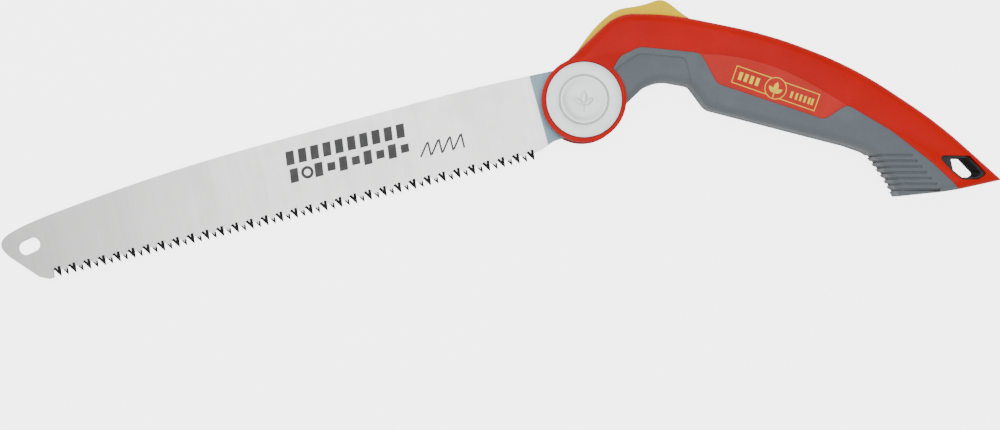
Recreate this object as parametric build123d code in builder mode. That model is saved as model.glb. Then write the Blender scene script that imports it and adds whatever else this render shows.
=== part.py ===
from build123d import *
import os
from math import atan2, cos, degrees, radians, sin, sqrt

# Folding pruning saw, lying flat. Millimetres.
# Origin: on the pivot axis, level with the lowest face. +X towards the handle's
# tail, +Y towards the lock lever, +Z along the pivot. Pieces come in a front
# set (above the middle plane) and a back set (below it).

# ---- Driving dimensions ----------------------------------------------------

# Overall stack
BOSS_HALF = 12.5         # middle plane to the rim round a pivot disc
DISC_PROUD = 0.5         # a pivot disc stands this much above its rim
HALF_THICK = BOSS_HALF + DISC_PROUD
BOSS_R = 22.8            # red rim round the pivot disc
RIM_W = 2.1              # width of that rim
RIM_DEPTH = 4.0          # how far that rim reaches down the boss
SHELL = 2.4              # wall of the covers and of the soft grips
CORE_WALL = 2.2          # wall of the moulded frame under them
SEAM_GAP = 0.15          # gap between cover and grip
EDGE_ROUND = 5.0         # rounding of the handle's long edges
NECK_HALF = BOSS_HALF - 1.1      # half thickness of the neck behind the boss
BELLY_HALF = BOSS_HALF + 0.35    # and of the grip's belly
TAIL_HALF = BOSS_HALF - 1.5      # and of the tail
HOLLOW_FROM = 64.0       # the frame is hollow from behind the neck
HOLLOW_TO = 188.0        # to in front of the hang hole
FACET_SINK = 0.4         # sunk field on the cover's side

# Blade
BLADE_ANGLE = 193.8      # where the blade points when it is open
TOOTH_LINE = 275.0       # toothed length
TEETH = 66
TOOTH_START = 33.2       # pivot to the first tooth, along the blade
TOOTH_REACH = 24.8       # pivot to the tooth points, across the blade
TOOTH_DEPTH = 4.0
TIP_LAND = 0.45          # width of a tooth's point
LONG_FACET = (1.5, 1.0, 5.6)     # width, depth at the flank and length
SHORT_FACET = (0.9, 0.5, 3.3)
FACET_LEAD = 0.6         # a facet's cut starts this far outside the tooth
GULLET_OVER = 0.4        # and a gullet's cut runs out this far
SPINE_REACH = 19.7       # pivot to the spine at the tang
TANG_T = 2.0
BLADE_T = 1.6            # after both faces are ground
GRIND_START = 25.0       # pivot to the edge of the ground faces
TANG_R = 20.0            # round end of the tang
TANG_LOW = 17.2          # pivot to the tang's lower edge
SHOULDER_U = 12.0        # along the blade to where that edge starts to flare
TIP_HOLE_LEN = 12.3
TIP_HOLE_W = 7.6
TIP_HOLE_ON = 4.9        # last tooth to the tip hole, along and across the blade
TIP_HOLE_TURN = 11.0

# Pivot
SLEEVE_R = 6.0
BORE_CLEAR = 0.05        # running clearance of the tang on the sleeve
BOLT_R = 4.0
BOLT_CLEAR = 0.1
HEAD_R = 8.0
HEAD_H = 3.2
HEAD_CLEAR = 0.3
HEX_KEY = 5.0
NUT_ACROSS = 13.0
NUT_H = 2.6
SPRING_WASHER_T = 1.2
COUNTERBORE_FLOOR = BOSS_HALF - 6.5      # middle plane to the seat of the bolt head
SLEEVE_HALF = COUNTERBORE_FLOOR - 0.1
THRUST_R = 11.0
THRUST_T = 0.8
THRUST_CLEAR = 0.05
DISC_CLEAR = 0.3         # disc to rim, on the radius
DISC_R = BOSS_R - RIM_W - DISC_CLEAR
RING_GROOVE_R = 13.2     # groove round the middle of the disc
RING_GROOVE_W = 0.7
RING_GROOVE_DEPTH = 0.35
DISC_PEG_R = 1.2
DISC_PEG_L = 3.0
DISC_PEG_AT = 15.5

# Fold
FOLD = 135.0             # blade travel from open to folded
LOCK_AT = (0.0, 20.0, 40.0, FOLD)
STOP_PIN_R = 1.7
STOP_PIN_AT_R = 13.4
STOP_PIN_AT = 20.0       # direction of the stop pin from the pivot
STOP_CLEAR = 0.15
STOP_PIN_HALF = COUNTERBORE_FLOOR + 0.5
FORK_CLEAR = 0.6         # round end of the tang to the frame
FORK_CLEAR_R = 31.5      # room for the tang's shoulder under the neck
SHOULDER_MARGIN = 3.5    # degrees that this room runs past the shoulder's travel

# Lock lever
LEVER_W = 9.0
LEVER_SIDE_CLEAR = 0.2
LEVER_PIN = (24.0, 33.0)
LEVER_PIN_R = 2.5
LEVER_PIN_GRIP = 3.5     # pin length inside each frame half
LEVER_RUN_CLEAR = 0.05
PAWL_T = 3.0
PAWL_REST_CLEAR = 0.3    # pawl to tang when the lever is let off
PAWL_W = 3.6
NOTCH_CLEAR = 0.3
LOCK_TURN = 4.2          # lever turn from rest to locked
RIVET_R = 1.1
COIL_R = 2.4
COIL_WIRE = 0.8
COIL_TURNS = 6
COIL_AT = 47.0
COIL_FLOOR = 30.5
COIL_TOP = 39.2

# Handle screws and hang hole
SCREW_AT = ((69.0, 33.5), (112.0, 18.5), (158.0, 0.5), (186.0, -19.5))
SCREW_R = 1.75
SCREW_HEAD_R = 3.2
SCREW_HEAD_H = 2.0
SCREW_KEY = 2.5
SCREW_SEAT = BOSS_HALF - 4.1     # middle plane to the seat of a screw head
SCREW_REACH = 6.0        # thread in the front frame's insert
INSERT_R = 2.6
SCREW_POST_R = 4.0
SCREW_CLEAR = 0.15
RIB_T = 1.6
RIB_AT = (88.0, 136.0)
LINER_STEP = 1.3         # the frame shows this much inside the hang hole

# Soft grip
FINGER_SINK = 0.8
GROOVES = 7
GROOVE_PITCH = 3.1
GROOVE_W = 1.4
GROOVE_SINK = 0.9
GROOVE_TOP = -30.0       # the first groove
GROOVE_RIGHT = 177.5     # where it ends
GROOVE_STEP = 2.6        # each next one ends this much further back

MID = HALF_THICK
MID_PLANE = Plane.XY.offset(MID)
CORE_HALF = BOSS_HALF - SHELL
FORK_HALF = TANG_T / 2 + THRUST_T + THRUST_CLEAR
LEVER_SLOT_HALF = LEVER_W / 2 + LEVER_SIDE_CLEAR
RIM_FLOOR = BOSS_HALF - RIM_DEPTH
RIM_CLEAR = 0.1          # frame to rim, on the radius
CORE_BOSS_R = BOSS_R - 0.5
FORK_R = TANG_R + FORK_CLEAR
# Directions between which the tang's shoulder reaches past its round end
spine_u = sqrt(FORK_R**2 - SPINE_REACH**2)
SHOULDER_FROM = BLADE_ANGLE - degrees(atan2(SPINE_REACH, spine_u)) - SHOULDER_MARGIN
SHOULDER_TO = BLADE_ANGLE + FOLD + degrees(atan2(TANG_LOW, SHOULDER_U)) + SHOULDER_MARGIN
OVER = 120.0             # longer than anything it cuts

os.makedirs("parts", exist_ok=True)


def level(height):
    """Plane parallel to the middle plane, this far in front of it."""
    return Plane.XY.offset(MID + height)


def blade_level(height, turn=0.0):
    """Plane in the blade's own axes: X towards the tip, Y towards the teeth."""
    angle = radians(BLADE_ANGLE + turn)
    return Plane(origin=(0, 0, MID + height), x_dir=(cos(angle), sin(angle), 0), z_dir=(0, 0, 1))


def polar(radius, angle):
    """Point at a radius and a direction in degrees from the pivot."""
    return (radius * cos(radians(angle)), radius * sin(radians(angle)))


# ---- Shared outlines -------------------------------------------------------

# Handle seen from the front, without the round boss: corners, each with its rounding
HANDLE_CORNERS = [
    ((-12.5, 18.0), 0),
    ((18.3, 46.9), 22.0),     # crown behind the lever
    ((48.0, 46.6), 150.0),
    ((100.0, 36.0), 250.0),
    ((147.0, 17.6), 220.0),
    ((192.0, -12.0), 250.0),
    ((227.0, -43.2), 0),      # tip of the tail
    ((200.0, -49.2), 150.0),
    ((171.2, -52.2), 0),      # heel
    ((166.8, -43.4), 25.0),
    ((156.0, -28.6), 12.0),
    ((144.0, -24.3), 40.0),
    ((67.2, -4.6), 8.0),      # front bump of the palm grip
    ((57.8, 8.0), 5.0),
    ((42.0, 11.1), 18.0),     # arch for the forefinger
    ((33.0, 7.4), 12.0),
    ((20.0, -5.0), 0),
    ((6.0, -10.0), 0),
]
with BuildSketch() as handle_face:
    with BuildLine():
        FilletPolyline(
            [corner for corner, _ in HANDLE_CORNERS],
            radius=[rounding for _, rounding in HANDLE_CORNERS], close=True,
        )
    make_face()

# Soft grip's field: everything under the parting curve
PARTING = [
    (13.0, 12.0), (19.5, 23.4), (30.0, 28.5), (63.0, 25.3), (72.0, 8.7), (129.5, -10.8),
    (142.0, -2.8), (166.0, -16.9), (188.0, -34.0), (210.0, -54.6),
]
PARTING_ROUNDS = [8.0, 10.0, 6.0, 5.0, 6.0, 4.0, 60.0, 60.0]
with BuildSketch() as grip_field:
    with BuildLine():
        parting = FilletPolyline(PARTING, radius=PARTING_ROUNDS)
        Polyline(parting @ 1, (210.0, -90.0), (13.0, -90.0), parting @ 0)
    make_face()

# Finger recess in the soft grip
with BuildSketch() as finger_field:
    with BuildLine():
        recess = FilletPolyline(
            [(12.0, 10.0), (18.0, 17.5), (29.5, 25.0), (55.0, 22.8), (59.5, 4.0), (57.0, -10.0)],
            radius=[4.0, 8.0, 4.0, 10.0],
        )
        Polyline(recess @ 1, (12.0, -10.0), recess @ 0)
    make_face()

# Hang hole
HANG_HOLE = [
    (190.8, -30.0), (208.6, -30.2), (218.0, -40.0), (213.5, -43.0), (204.4, -43.2), (199.0, -39.0),
]
with BuildSketch() as hang_face:
    with BuildLine():
        FilletPolyline(HANG_HOLE, radius=1.6, close=True)
    make_face()
with BuildSketch() as liner_face:
    with BuildLine():
        FilletPolyline([(198.5, -31.2), (208.0, -31.4), (216.0, -39.8), (212.5, -41.8),
                        (204.9, -41.9), (200.0, -38.0)], radius=1.2, close=True)
    make_face()

# Lock lever and the pocket that it moves in
LEVER_FRONT = (-4.4, 25.4)
with BuildSketch() as lever_face:
    with BuildLine():
        Line(LEVER_FRONT, (-1.6, 29.6))
        Spline((-1.6, 29.6), (5.3, 38.7), (11.9, 45.2), (18.8, 49.6), (27.1, 51.3), (35.9, 53.4),
               (42.2, 55.0), (49.0, 51.6), (57.2, 45.6))
        Polyline((57.2, 45.6), (58.6, 43.6), (57.6, 40.4), (52.0, COIL_TOP), (40.0, COIL_TOP),
                 (31.5, 37.5), (30.0, 30.0), (26.5, 27.0), (21.0, 27.0), (17.0, 30.5), (9.5, 31.0),
                 (5.0, 27.0), (2.6, 23.4), (-3.4, 23.4), LEVER_FRONT)
    make_face()
with BuildSketch() as lever_pocket:
    with BuildLine():
        Polyline((-6.4, 20.4), (6.5, 20.4), (12.0, 22.8), (34.0, 22.8), (37.0, COIL_FLOOR),
                 (55.0, COIL_FLOOR), (60.6, 35.5), (60.6, 62.0), (-6.4, 62.0), close=True)
    make_face()

# Pawl: a steel tongue whose nose drops into a notch of the tang
NOSE_X = -0.5
NOSE_Y = TANG_R + PAWL_REST_CLEAR
with BuildSketch() as pawl_face:
    with BuildLine():
        Polyline((NOSE_X - PAWL_W / 2, NOSE_Y), (NOSE_X + PAWL_W / 2, NOSE_Y), (2.2, 24.5),
                 (8.6, 32.0), (5.4, 34.4), (-2.4, 26.4), close=True)
    make_face()
RIVET_AT = ((0.6, 26.6), (4.8, 31.2))

# Where the nose is when the lever has turned to its locked place
lock_turn = radians(LOCK_TURN)
nose_dx = NOSE_X - LEVER_PIN[0]
nose_dy = NOSE_Y - LEVER_PIN[1]
LOCKED_X = LEVER_PIN[0] + nose_dx * cos(lock_turn) - nose_dy * sin(lock_turn)
LOCKED_Y = LEVER_PIN[1] + nose_dx * sin(lock_turn) + nose_dy * cos(lock_turn)


def half_handle(inset, edge_round):
    """Front half of the handle's volume, with its skin moved in by inset."""
    with BuildPart() as half:
        with BuildSketch(MID_PLANE):
            add(handle_face.sketch)
            if inset:
                offset(amount=-inset, kind=Kind.ARC)
        extrude(amount=HALF_THICK + 1)
        with BuildSketch(Plane.XZ.offset(-OVER)):
            with BuildLine():
                flat = Line((-30, MID + BOSS_HALF - inset), (30, MID + BOSS_HALF - inset))
                crown = Spline(
                    flat @ 1, (62, MID + NECK_HALF - inset), (115, MID + BELLY_HALF - inset),
                    (165, MID + BELLY_HALF - inset - 0.5), (232, MID + TAIL_HALF - inset),
                    tangents=[(1, 0), (1, -0.03)],
                )
                Polyline(crown @ 1, (232, MID - 1), (-30, MID - 1), flat @ 0)
            make_face()
        extrude(amount=2 * OVER, mode=Mode.INTERSECT)
        if edge_round:
            fillet(half.faces().sort_by(Axis.Z)[-1].edges(), edge_round)
    return half.part


def flipped(shape):
    """The same shape on the other side of the middle plane."""
    return mirror(shape, about=MID_PLANE, mode=Mode.PRIVATE)


outer_half = half_handle(0, EDGE_ROUND)
inner_half = half_handle(SHELL, EDGE_ROUND - SHELL)
groove_half = half_handle(GROOVE_SINK, EDGE_ROUND - GROOVE_SINK)
hollow_half = half_handle(SHELL + CORE_WALL, 0)


# ---- Saw blade -------------------------------------------------------------

PITCH = TOOTH_LINE / TEETH
TOOTH_END = TOOTH_START + TOOTH_LINE

# Each tooth has a steep flank towards the handle, which cuts on the pull, and a
# slanted one towards the tip: sideways run of each flank for one unit of depth
FLANKS = {"steep": -0.11, "slanted": 0.66}


def facet_sketch(first, face, flank, width, depth):
    """Sections of one ground facet on every second tooth, and the way they run.

    face is 1 for the front of the blade and -1 for its back.
    """
    axes = blade_level(face * BLADE_T / 2)
    lean = FLANKS[flank]
    run = (axes.x_dir * lean - axes.y_dir).normalized()
    inward = 1 if flank == "steep" else -1
    corner = 0 if flank == "steep" else TIP_LAND
    into = (axes.x_dir * inward + axes.y_dir * (inward * lean)).normalized()
    starts = [
        axes.from_local_coords(Vector(TOOTH_START + tooth * PITCH + corner, TOOTH_REACH, 0))
        - run * FACET_LEAD
        for tooth in range(first, TEETH - 1, 2)
    ]
    planes = [Plane(origin=start, x_dir=into, z_dir=run) for start in starts]
    out = face * inward
    with BuildSketch(*planes) as sections:
        with BuildLine():
            Polyline((0, -out * depth), (width, 0), (width, out * FACET_LEAD), (0, out * FACET_LEAD),
                     close=True)
        make_face()
    return sections.sketch, run


with BuildPart() as saw_blade:
    with BuildSketch(blade_level(-TANG_T / 2)):
        with BuildLine():
            spine = Spline(
                (0, -SPINE_REACH), (30, -20.6), (62, -21.1), (130, -19.9), (220, -16.9),
                (TOOTH_END - 18.2, -10.3), (TOOTH_END + 13.3, -4.7),
                tangents=[(1, -0.02), (0.95, 0.3)],
            )
            nose = Spline(spine @ 1, (TOOTH_END + 19.7, 0.6), (TOOTH_END + 16.6, 8.2),
                          tangents=[(0.95, 0.3), (-0.55, 0.83)])
            Polyline(nose @ 1, (TOOTH_END + 3.3, TOOTH_REACH - 2.2), (TOOTH_END - 1.4, TOOTH_REACH),
                     (TOOTH_START, TOOTH_REACH), (TOOTH_START - 0.4, TOOTH_REACH - 3.4))
            choil = Spline(
                (TOOTH_START - 0.4, TOOTH_REACH - 3.4), (TOOTH_START - 4.4, 20.6),
                (TOOTH_START - 10.7, 18.1), (SHOULDER_U, TANG_LOW),
                tangents=[(-0.8, -0.4), (-1, 0)],
            )
            Polyline(choil @ 1, (0, TANG_LOW), (0, -SPINE_REACH))
        make_face()
        Circle(TANG_R)
    extrude(amount=TANG_T)
    for ground_face, inward in ((TANG_T / 2, 1), (-TANG_T / 2, -1)):
        with BuildSketch(blade_level(ground_face - inward * (TANG_T - BLADE_T) / 2)):
            with Locations((GRIND_START + TOOTH_END / 2, 0)):
                Rectangle(TOOTH_END, 4 * TOOTH_REACH)
        extrude(amount=inward * 1.0, mode=Mode.SUBTRACT)
    # Gullets between the teeth
    with BuildSketch(blade_level(-BLADE_T)):
        for tooth in range(TEETH - 1):
            u = TOOTH_START + tooth * PITCH + TIP_LAND
            gap = PITCH - TIP_LAND
            foot = TOOTH_REACH - TOOTH_DEPTH
            with BuildLine():
                Polyline(
                    (u, TOOTH_REACH + GULLET_OVER), (u, TOOTH_REACH),
                    (u + FLANKS["slanted"] * TOOTH_DEPTH, foot),
                    (u + gap + FLANKS["steep"] * TOOTH_DEPTH, foot),
                    (u + gap, TOOTH_REACH), (u + gap, TOOTH_REACH + GULLET_OVER), close=True,
                )
            make_face()
    extrude(amount=2 * BLADE_T, mode=Mode.SUBTRACT)
    # Every second tooth has its long facets on the front, the others on the back
    for first in (0, 1):
        for face in (1, -1):
            bold = (first == 0) == (face == 1)
            width, depth, length = LONG_FACET if bold else SHORT_FACET
            for flank in FLANKS:
                sections, run = facet_sketch(first, face, flank, width, depth)
                extrude(sections, amount=length + FACET_LEAD, dir=run, mode=Mode.SUBTRACT)
    with BuildSketch(blade_level(-TANG_T)):
        Circle(SLEEVE_R + BORE_CLEAR)
        with Locations((TOOTH_END + TIP_HOLE_ON, TIP_HOLE_ON)):
            SlotOverall(TIP_HOLE_LEN, TIP_HOLE_W, rotation=TIP_HOLE_TURN)
    extrude(amount=2 * TANG_T, mode=Mode.SUBTRACT)
    # Curved slot that runs on the stop pin
    slack = degrees(STOP_CLEAR / STOP_PIN_AT_R)
    with BuildLine() as stop_track:
        CenterArc((0, 0), STOP_PIN_AT_R, STOP_PIN_AT - FOLD - slack, FOLD + 2 * slack)
    with BuildSketch(level(-TANG_T)):
        SlotArc(stop_track.wires()[0], height=2 * (STOP_PIN_R + 0.1))
    extrude(amount=2 * TANG_T, mode=Mode.SUBTRACT)
    # Notches of the lock, one for each locked position
    for lock_angle in LOCK_AT:
        turned = Plane(origin=(0, 0, MID - TANG_T),
                       x_dir=(cos(radians(lock_angle)), -sin(radians(lock_angle)), 0),
                       z_dir=(0, 0, 1))
        with BuildSketch(turned):
            with BuildLine():
                Polyline(
                    (LOCKED_X - PAWL_W / 2 - 0.2, LOCKED_Y - NOTCH_CLEAR),
                    (LOCKED_X + PAWL_W / 2 + 0.2, LOCKED_Y - NOTCH_CLEAR),
                    (LOCKED_X + PAWL_W / 2 + 0.75, TANG_R + 1),
                    (NOSE_X - PAWL_W / 2 - NOTCH_CLEAR, TANG_R + 1), close=True,
                )
            make_face()
        extrude(amount=2 * TANG_T, mode=Mode.SUBTRACT)
saw_blade.part.label = "saw_blade"
export_step(saw_blade.part, "parts/saw_blade.step")


# ---- Pivot -----------------------------------------------------------------

with BuildPart() as pivot_sleeve:
    with BuildSketch(level(-SLEEVE_HALF)):
        Circle(SLEEVE_R)
        Circle(BOLT_R + BOLT_CLEAR, mode=Mode.SUBTRACT)
    extrude(amount=2 * SLEEVE_HALF)
pivot_sleeve.part.label = "pivot_sleeve"
export_step(pivot_sleeve.part, "parts/pivot_sleeve.step")

with BuildPart() as pivot_bolt:
    with BuildSketch(level(COUNTERBORE_FLOOR)):
        Circle(HEAD_R)
    extrude(amount=HEAD_H)
    fillet(pivot_bolt.faces().sort_by(Axis.Z)[-1].edges(), 0.8)
    with BuildSketch(level(COUNTERBORE_FLOOR)):
        Circle(BOLT_R)
    extrude(amount=-2 * COUNTERBORE_FLOOR - SPRING_WASHER_T - NUT_H)
    chamfer(pivot_bolt.faces().sort_by(Axis.Z)[0].edges(), 0.5)
    with BuildSketch(level(COUNTERBORE_FLOOR + HEAD_H)):
        RegularPolygon(HEX_KEY / 2, 6, major_radius=False)
    extrude(amount=-2.2, mode=Mode.SUBTRACT)
pivot_bolt.part.label = "pivot_bolt"
export_step(pivot_bolt.part, "parts/pivot_bolt.step")

with BuildPart() as spring_washer:
    with BuildSketch(level(-COUNTERBORE_FLOOR)):
        Circle(HEAD_R)
        Circle(BOLT_R + BOLT_CLEAR, mode=Mode.SUBTRACT)
    extrude(amount=-SPRING_WASHER_T)
spring_washer.part.label = "spring_washer"
export_step(spring_washer.part, "parts/spring_washer.step")

with BuildPart() as pivot_nut:
    with BuildSketch(level(-COUNTERBORE_FLOOR - SPRING_WASHER_T)):
        RegularPolygon(NUT_ACROSS / 2, 6, major_radius=False)
        Circle(BOLT_R, mode=Mode.SUBTRACT)
    extrude(amount=-NUT_H)
pivot_nut.part.label = "pivot_nut"
export_step(pivot_nut.part, "parts/pivot_nut.step")

with BuildPart() as thrust_washer_front:
    with BuildSketch(level(FORK_HALF - THRUST_T)):
        Circle(THRUST_R)
        Circle(SLEEVE_R + BORE_CLEAR, mode=Mode.SUBTRACT)
    extrude(amount=THRUST_T)
thrust_washer_front.part.label = "thrust_washer_front"
export_step(thrust_washer_front.part, "parts/thrust_washer_front.step")

with BuildPart() as thrust_washer_back:
    add(flipped(thrust_washer_front.part))
thrust_washer_back.part.label = "thrust_washer_back"
export_step(thrust_washer_back.part, "parts/thrust_washer_back.step")

with BuildPart() as pivot_disc_front:
    with BuildSketch(level(CORE_HALF)):
        Circle(DISC_R)
    extrude(amount=HALF_THICK - CORE_HALF)
    chamfer(pivot_disc_front.faces().sort_by(Axis.Z)[-1].edges(), 0.5)
    with BuildSketch(level(HALF_THICK)):
        Circle(RING_GROOVE_R)
        Circle(RING_GROOVE_R - RING_GROOVE_W, mode=Mode.SUBTRACT)
    extrude(amount=-RING_GROOVE_DEPTH, mode=Mode.SUBTRACT)
    with BuildSketch(level(CORE_HALF)):
        with PolarLocations(DISC_PEG_AT, 3, start_angle=90):
            Circle(DISC_PEG_R)
    extrude(amount=-DISC_PEG_L)
pivot_disc_front.part.label = "pivot_disc_front"
export_step(pivot_disc_front.part, "parts/pivot_disc_front.step")

with BuildPart() as pivot_disc_back:
    add(flipped(pivot_disc_front.part))
pivot_disc_back.part.label = "pivot_disc_back"
export_step(pivot_disc_back.part, "parts/pivot_disc_back.step")

with BuildPart() as stop_pin:
    with BuildSketch(level(-STOP_PIN_HALF)):
        with Locations(polar(STOP_PIN_AT_R, STOP_PIN_AT)):
            Circle(STOP_PIN_R)
    extrude(amount=2 * STOP_PIN_HALF)
    chamfer(stop_pin.edges().filter_by(GeomType.CIRCLE), 0.3)
stop_pin.part.label = "stop_pin"
export_step(stop_pin.part, "parts/stop_pin.step")


# ---- Lock lever ------------------------------------------------------------

with BuildPart() as lock_lever:
    with BuildSketch(level(-LEVER_W / 2)):
        add(lever_face.sketch)
    extrude(amount=LEVER_W)
    fillet(lock_lever.faces().filter_by(Plane.XY).edges().filter_by_position(
        Axis.Y, 31.0, 60.0), 1.2)
    with BuildSketch(level(-LEVER_W)):
        with Locations(LEVER_PIN):
            Circle(LEVER_PIN_R + LEVER_RUN_CLEAR)
        with Locations(RIVET_AT):
            Circle(RIVET_R)
    extrude(amount=2 * LEVER_W, mode=Mode.SUBTRACT)
    with BuildSketch(level(-PAWL_T / 2)):
        add(pawl_face.sketch)
    extrude(amount=PAWL_T, mode=Mode.SUBTRACT)
lock_lever.part.label = "lock_lever"
export_step(lock_lever.part, "parts/lock_lever.step")

with BuildPart() as lock_pawl:
    with BuildSketch(level(-PAWL_T / 2)):
        add(pawl_face.sketch)
        with Locations(RIVET_AT):
            Circle(RIVET_R, mode=Mode.SUBTRACT)
    extrude(amount=PAWL_T)
lock_pawl.part.label = "lock_pawl"
export_step(lock_pawl.part, "parts/lock_pawl.step")

with BuildPart() as pawl_rivets:
    with BuildSketch(level(-LEVER_W / 2)):
        with Locations(RIVET_AT):
            Circle(RIVET_R)
    extrude(amount=LEVER_W)
pawl_rivets.part.label = "pawl_rivets"
export_step(pawl_rivets.part, "parts/pawl_rivets.step")

lever_pin_half = LEVER_SLOT_HALF + LEVER_PIN_GRIP
with BuildPart() as lever_pin:
    with BuildSketch(level(-lever_pin_half)):
        with Locations(LEVER_PIN):
            Circle(LEVER_PIN_R)
    extrude(amount=2 * lever_pin_half)
lever_pin.part.label = "lever_pin"
export_step(lever_pin.part, "parts/lever_pin.step")

coil_height = COIL_TOP - COIL_FLOOR - COIL_WIRE
with BuildPart() as lever_spring:
    with BuildLine() as coil:
        Helix(coil_height / COIL_TURNS, coil_height, COIL_R,
              center=(COIL_AT, COIL_FLOOR + COIL_WIRE / 2, MID), direction=(0, 1, 0))
    with BuildSketch(Plane(origin=coil.line @ 0, z_dir=coil.line % 0)):
        Circle(COIL_WIRE / 2)
    sweep(is_frenet=True)
lever_spring.part.label = "lever_spring"
export_step(lever_spring.part, "parts/lever_spring.step")


# ---- Moulded frame ---------------------------------------------------------

rim_inner_r = DISC_R + DISC_CLEAR

# Hollow of the grip, with cross ribs and screw posts left standing
with BuildPart() as hollow:
    add(hollow_half)
    with BuildSketch(MID_PLANE):
        with Locations(((HOLLOW_FROM + HOLLOW_TO) / 2, 0)):
            Rectangle(HOLLOW_TO - HOLLOW_FROM, 200)
    extrude(amount=HALF_THICK, mode=Mode.INTERSECT)
    with BuildSketch(MID_PLANE):
        for rib_x in RIB_AT:
            with Locations((rib_x, 0)):
                Rectangle(RIB_T, 200)
        with Locations(SCREW_AT):
            Circle(SCREW_POST_R)
    extrude(amount=HALF_THICK, mode=Mode.SUBTRACT)

# Room that both frame halves leave for the fork, the lever and the pivot
with BuildPart() as frame_room:
    add(hollow.part)
    # Fork gap: a full circle for the tang's round end, wider where its shoulder passes
    with BuildSketch(MID_PLANE):
        Circle(FORK_R)
        with BuildLine():
            sweep_start = polar(FORK_CLEAR_R, SHOULDER_FROM)
            sweep_end = polar(FORK_CLEAR_R, SHOULDER_TO)
            ThreePointArc(sweep_start, (-FORK_CLEAR_R, 0), polar(FORK_CLEAR_R, 260))
            ThreePointArc(polar(FORK_CLEAR_R, 260), polar(FORK_CLEAR_R, 310), sweep_end)
            Polyline(sweep_end, (0, 0), sweep_start)
        make_face()
    extrude(amount=FORK_HALF)
    with BuildSketch(MID_PLANE):
        add(lever_pocket.sketch)
    extrude(amount=LEVER_SLOT_HALF)
    with BuildSketch(MID_PLANE):
        with Locations(LEVER_PIN):
            Circle(LEVER_PIN_R)
    extrude(amount=lever_pin_half)
    with BuildSketch(MID_PLANE):
        Circle(SLEEVE_R)
    extrude(amount=COUNTERBORE_FLOOR)
    with BuildSketch(level(COUNTERBORE_FLOOR)):
        Circle(HEAD_R + HEAD_CLEAR)
    extrude(amount=HALF_THICK)
    with BuildSketch(MID_PLANE):
        with Locations(polar(STOP_PIN_AT_R, STOP_PIN_AT)):
            Circle(STOP_PIN_R)
    extrude(amount=STOP_PIN_HALF)
    with BuildSketch(level(CORE_HALF)):
        with PolarLocations(DISC_PEG_AT, 3, start_angle=90):
            Circle(DISC_PEG_R)
    extrude(amount=-DISC_PEG_L)
    with BuildSketch(MID_PLANE):
        add(liner_face.sketch)
    extrude(amount=HALF_THICK)
    # Seat of the cover's rim
    with BuildSketch(level(RIM_FLOOR)):
        Circle(BOSS_R + RIM_CLEAR + SEAM_GAP)
        Circle(rim_inner_r - RIM_CLEAR, mode=Mode.SUBTRACT)
    extrude(amount=RIM_DEPTH)

with BuildPart() as frame_blank:
    add(inner_half)
    with BuildSketch(MID_PLANE):
        Circle(CORE_BOSS_R)
    extrude(amount=RIM_FLOOR)
    with BuildSketch(MID_PLANE):
        Circle(rim_inner_r - RIM_CLEAR)
    extrude(amount=CORE_HALF)
    add(frame_room.part, mode=Mode.SUBTRACT)

with BuildPart() as core_front:
    add(frame_blank.part)
    with BuildSketch(MID_PLANE):
        with Locations(SCREW_AT):
            Circle(INSERT_R)
    extrude(amount=SCREW_REACH, mode=Mode.SUBTRACT)
core_front.part.label = "core_front"
export_step(core_front.part, "parts/core_front.step")

with BuildPart() as core_back:
    add(flipped(frame_blank.part))
    with BuildSketch(MID_PLANE):
        with Locations(SCREW_AT):
            Circle(SCREW_R + SCREW_CLEAR)
    extrude(amount=-HALF_THICK, mode=Mode.SUBTRACT)
    with BuildSketch(level(-SCREW_SEAT)):
        with Locations(SCREW_AT):
            Circle(SCREW_HEAD_R + SCREW_CLEAR)
    extrude(amount=-HALF_THICK, mode=Mode.SUBTRACT)
core_back.part.label = "core_back"
export_step(core_back.part, "parts/core_back.step")


# ---- Red covers ------------------------------------------------------------

with BuildPart() as cover_blank:
    add(outer_half)
    add(inner_half, mode=Mode.SUBTRACT)
    with BuildSketch(MID_PLANE):
        add(grip_field.sketch)
        offset(amount=SEAM_GAP)
    extrude(amount=HALF_THICK + 1, mode=Mode.SUBTRACT)
    # Round opening for the boss, then the rim on top of it
    with BuildSketch(MID_PLANE):
        Circle(BOSS_R + RIM_CLEAR)
    extrude(amount=HALF_THICK, mode=Mode.SUBTRACT)
    with BuildSketch(level(RIM_FLOOR)):
        Circle(BOSS_R + RIM_CLEAR)
        Circle(rim_inner_r, mode=Mode.SUBTRACT)
    extrude(amount=RIM_DEPTH)
    with BuildSketch(MID_PLANE):
        add(lever_pocket.sketch)
    extrude(amount=LEVER_SLOT_HALF, mode=Mode.SUBTRACT)
    with BuildSketch(MID_PLANE):
        add(hang_face.sketch)
    extrude(amount=HALF_THICK + 1, mode=Mode.SUBTRACT)

# Sunk field of the cover's side, where a label would be printed
with BuildPart() as facet_cut:
    with BuildSketch(MID_PLANE):
        with BuildLine():
            facet_top = Spline((64.0, 24.9), (93.0, 20.9), (114.4, 12.9), (128.4, 5.2), (142.5, -3.2))
            Polyline(facet_top @ 1, (142.5, -40.0), (64.0, -40.0), facet_top @ 0)
        make_face()
    extrude(amount=HALF_THICK + 1)
    add(outer_half.moved(Location((0, 0, -FACET_SINK))), mode=Mode.SUBTRACT)

with BuildPart() as cover_front:
    add(cover_blank.part)
    add(facet_cut.part, mode=Mode.SUBTRACT)
cover_front.part.label = "cover_front"
export_step(cover_front.part, "parts/cover_front.step")

with BuildPart() as cover_back:
    add(flipped(cover_front.part))
    with BuildSketch(level(-SCREW_SEAT)):
        with Locations(SCREW_AT):
            Circle(SCREW_HEAD_R + SCREW_CLEAR)
    extrude(amount=-HALF_THICK, mode=Mode.SUBTRACT)
cover_back.part.label = "cover_back"
export_step(cover_back.part, "parts/cover_back.step")


# ---- Soft grips ------------------------------------------------------------

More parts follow.
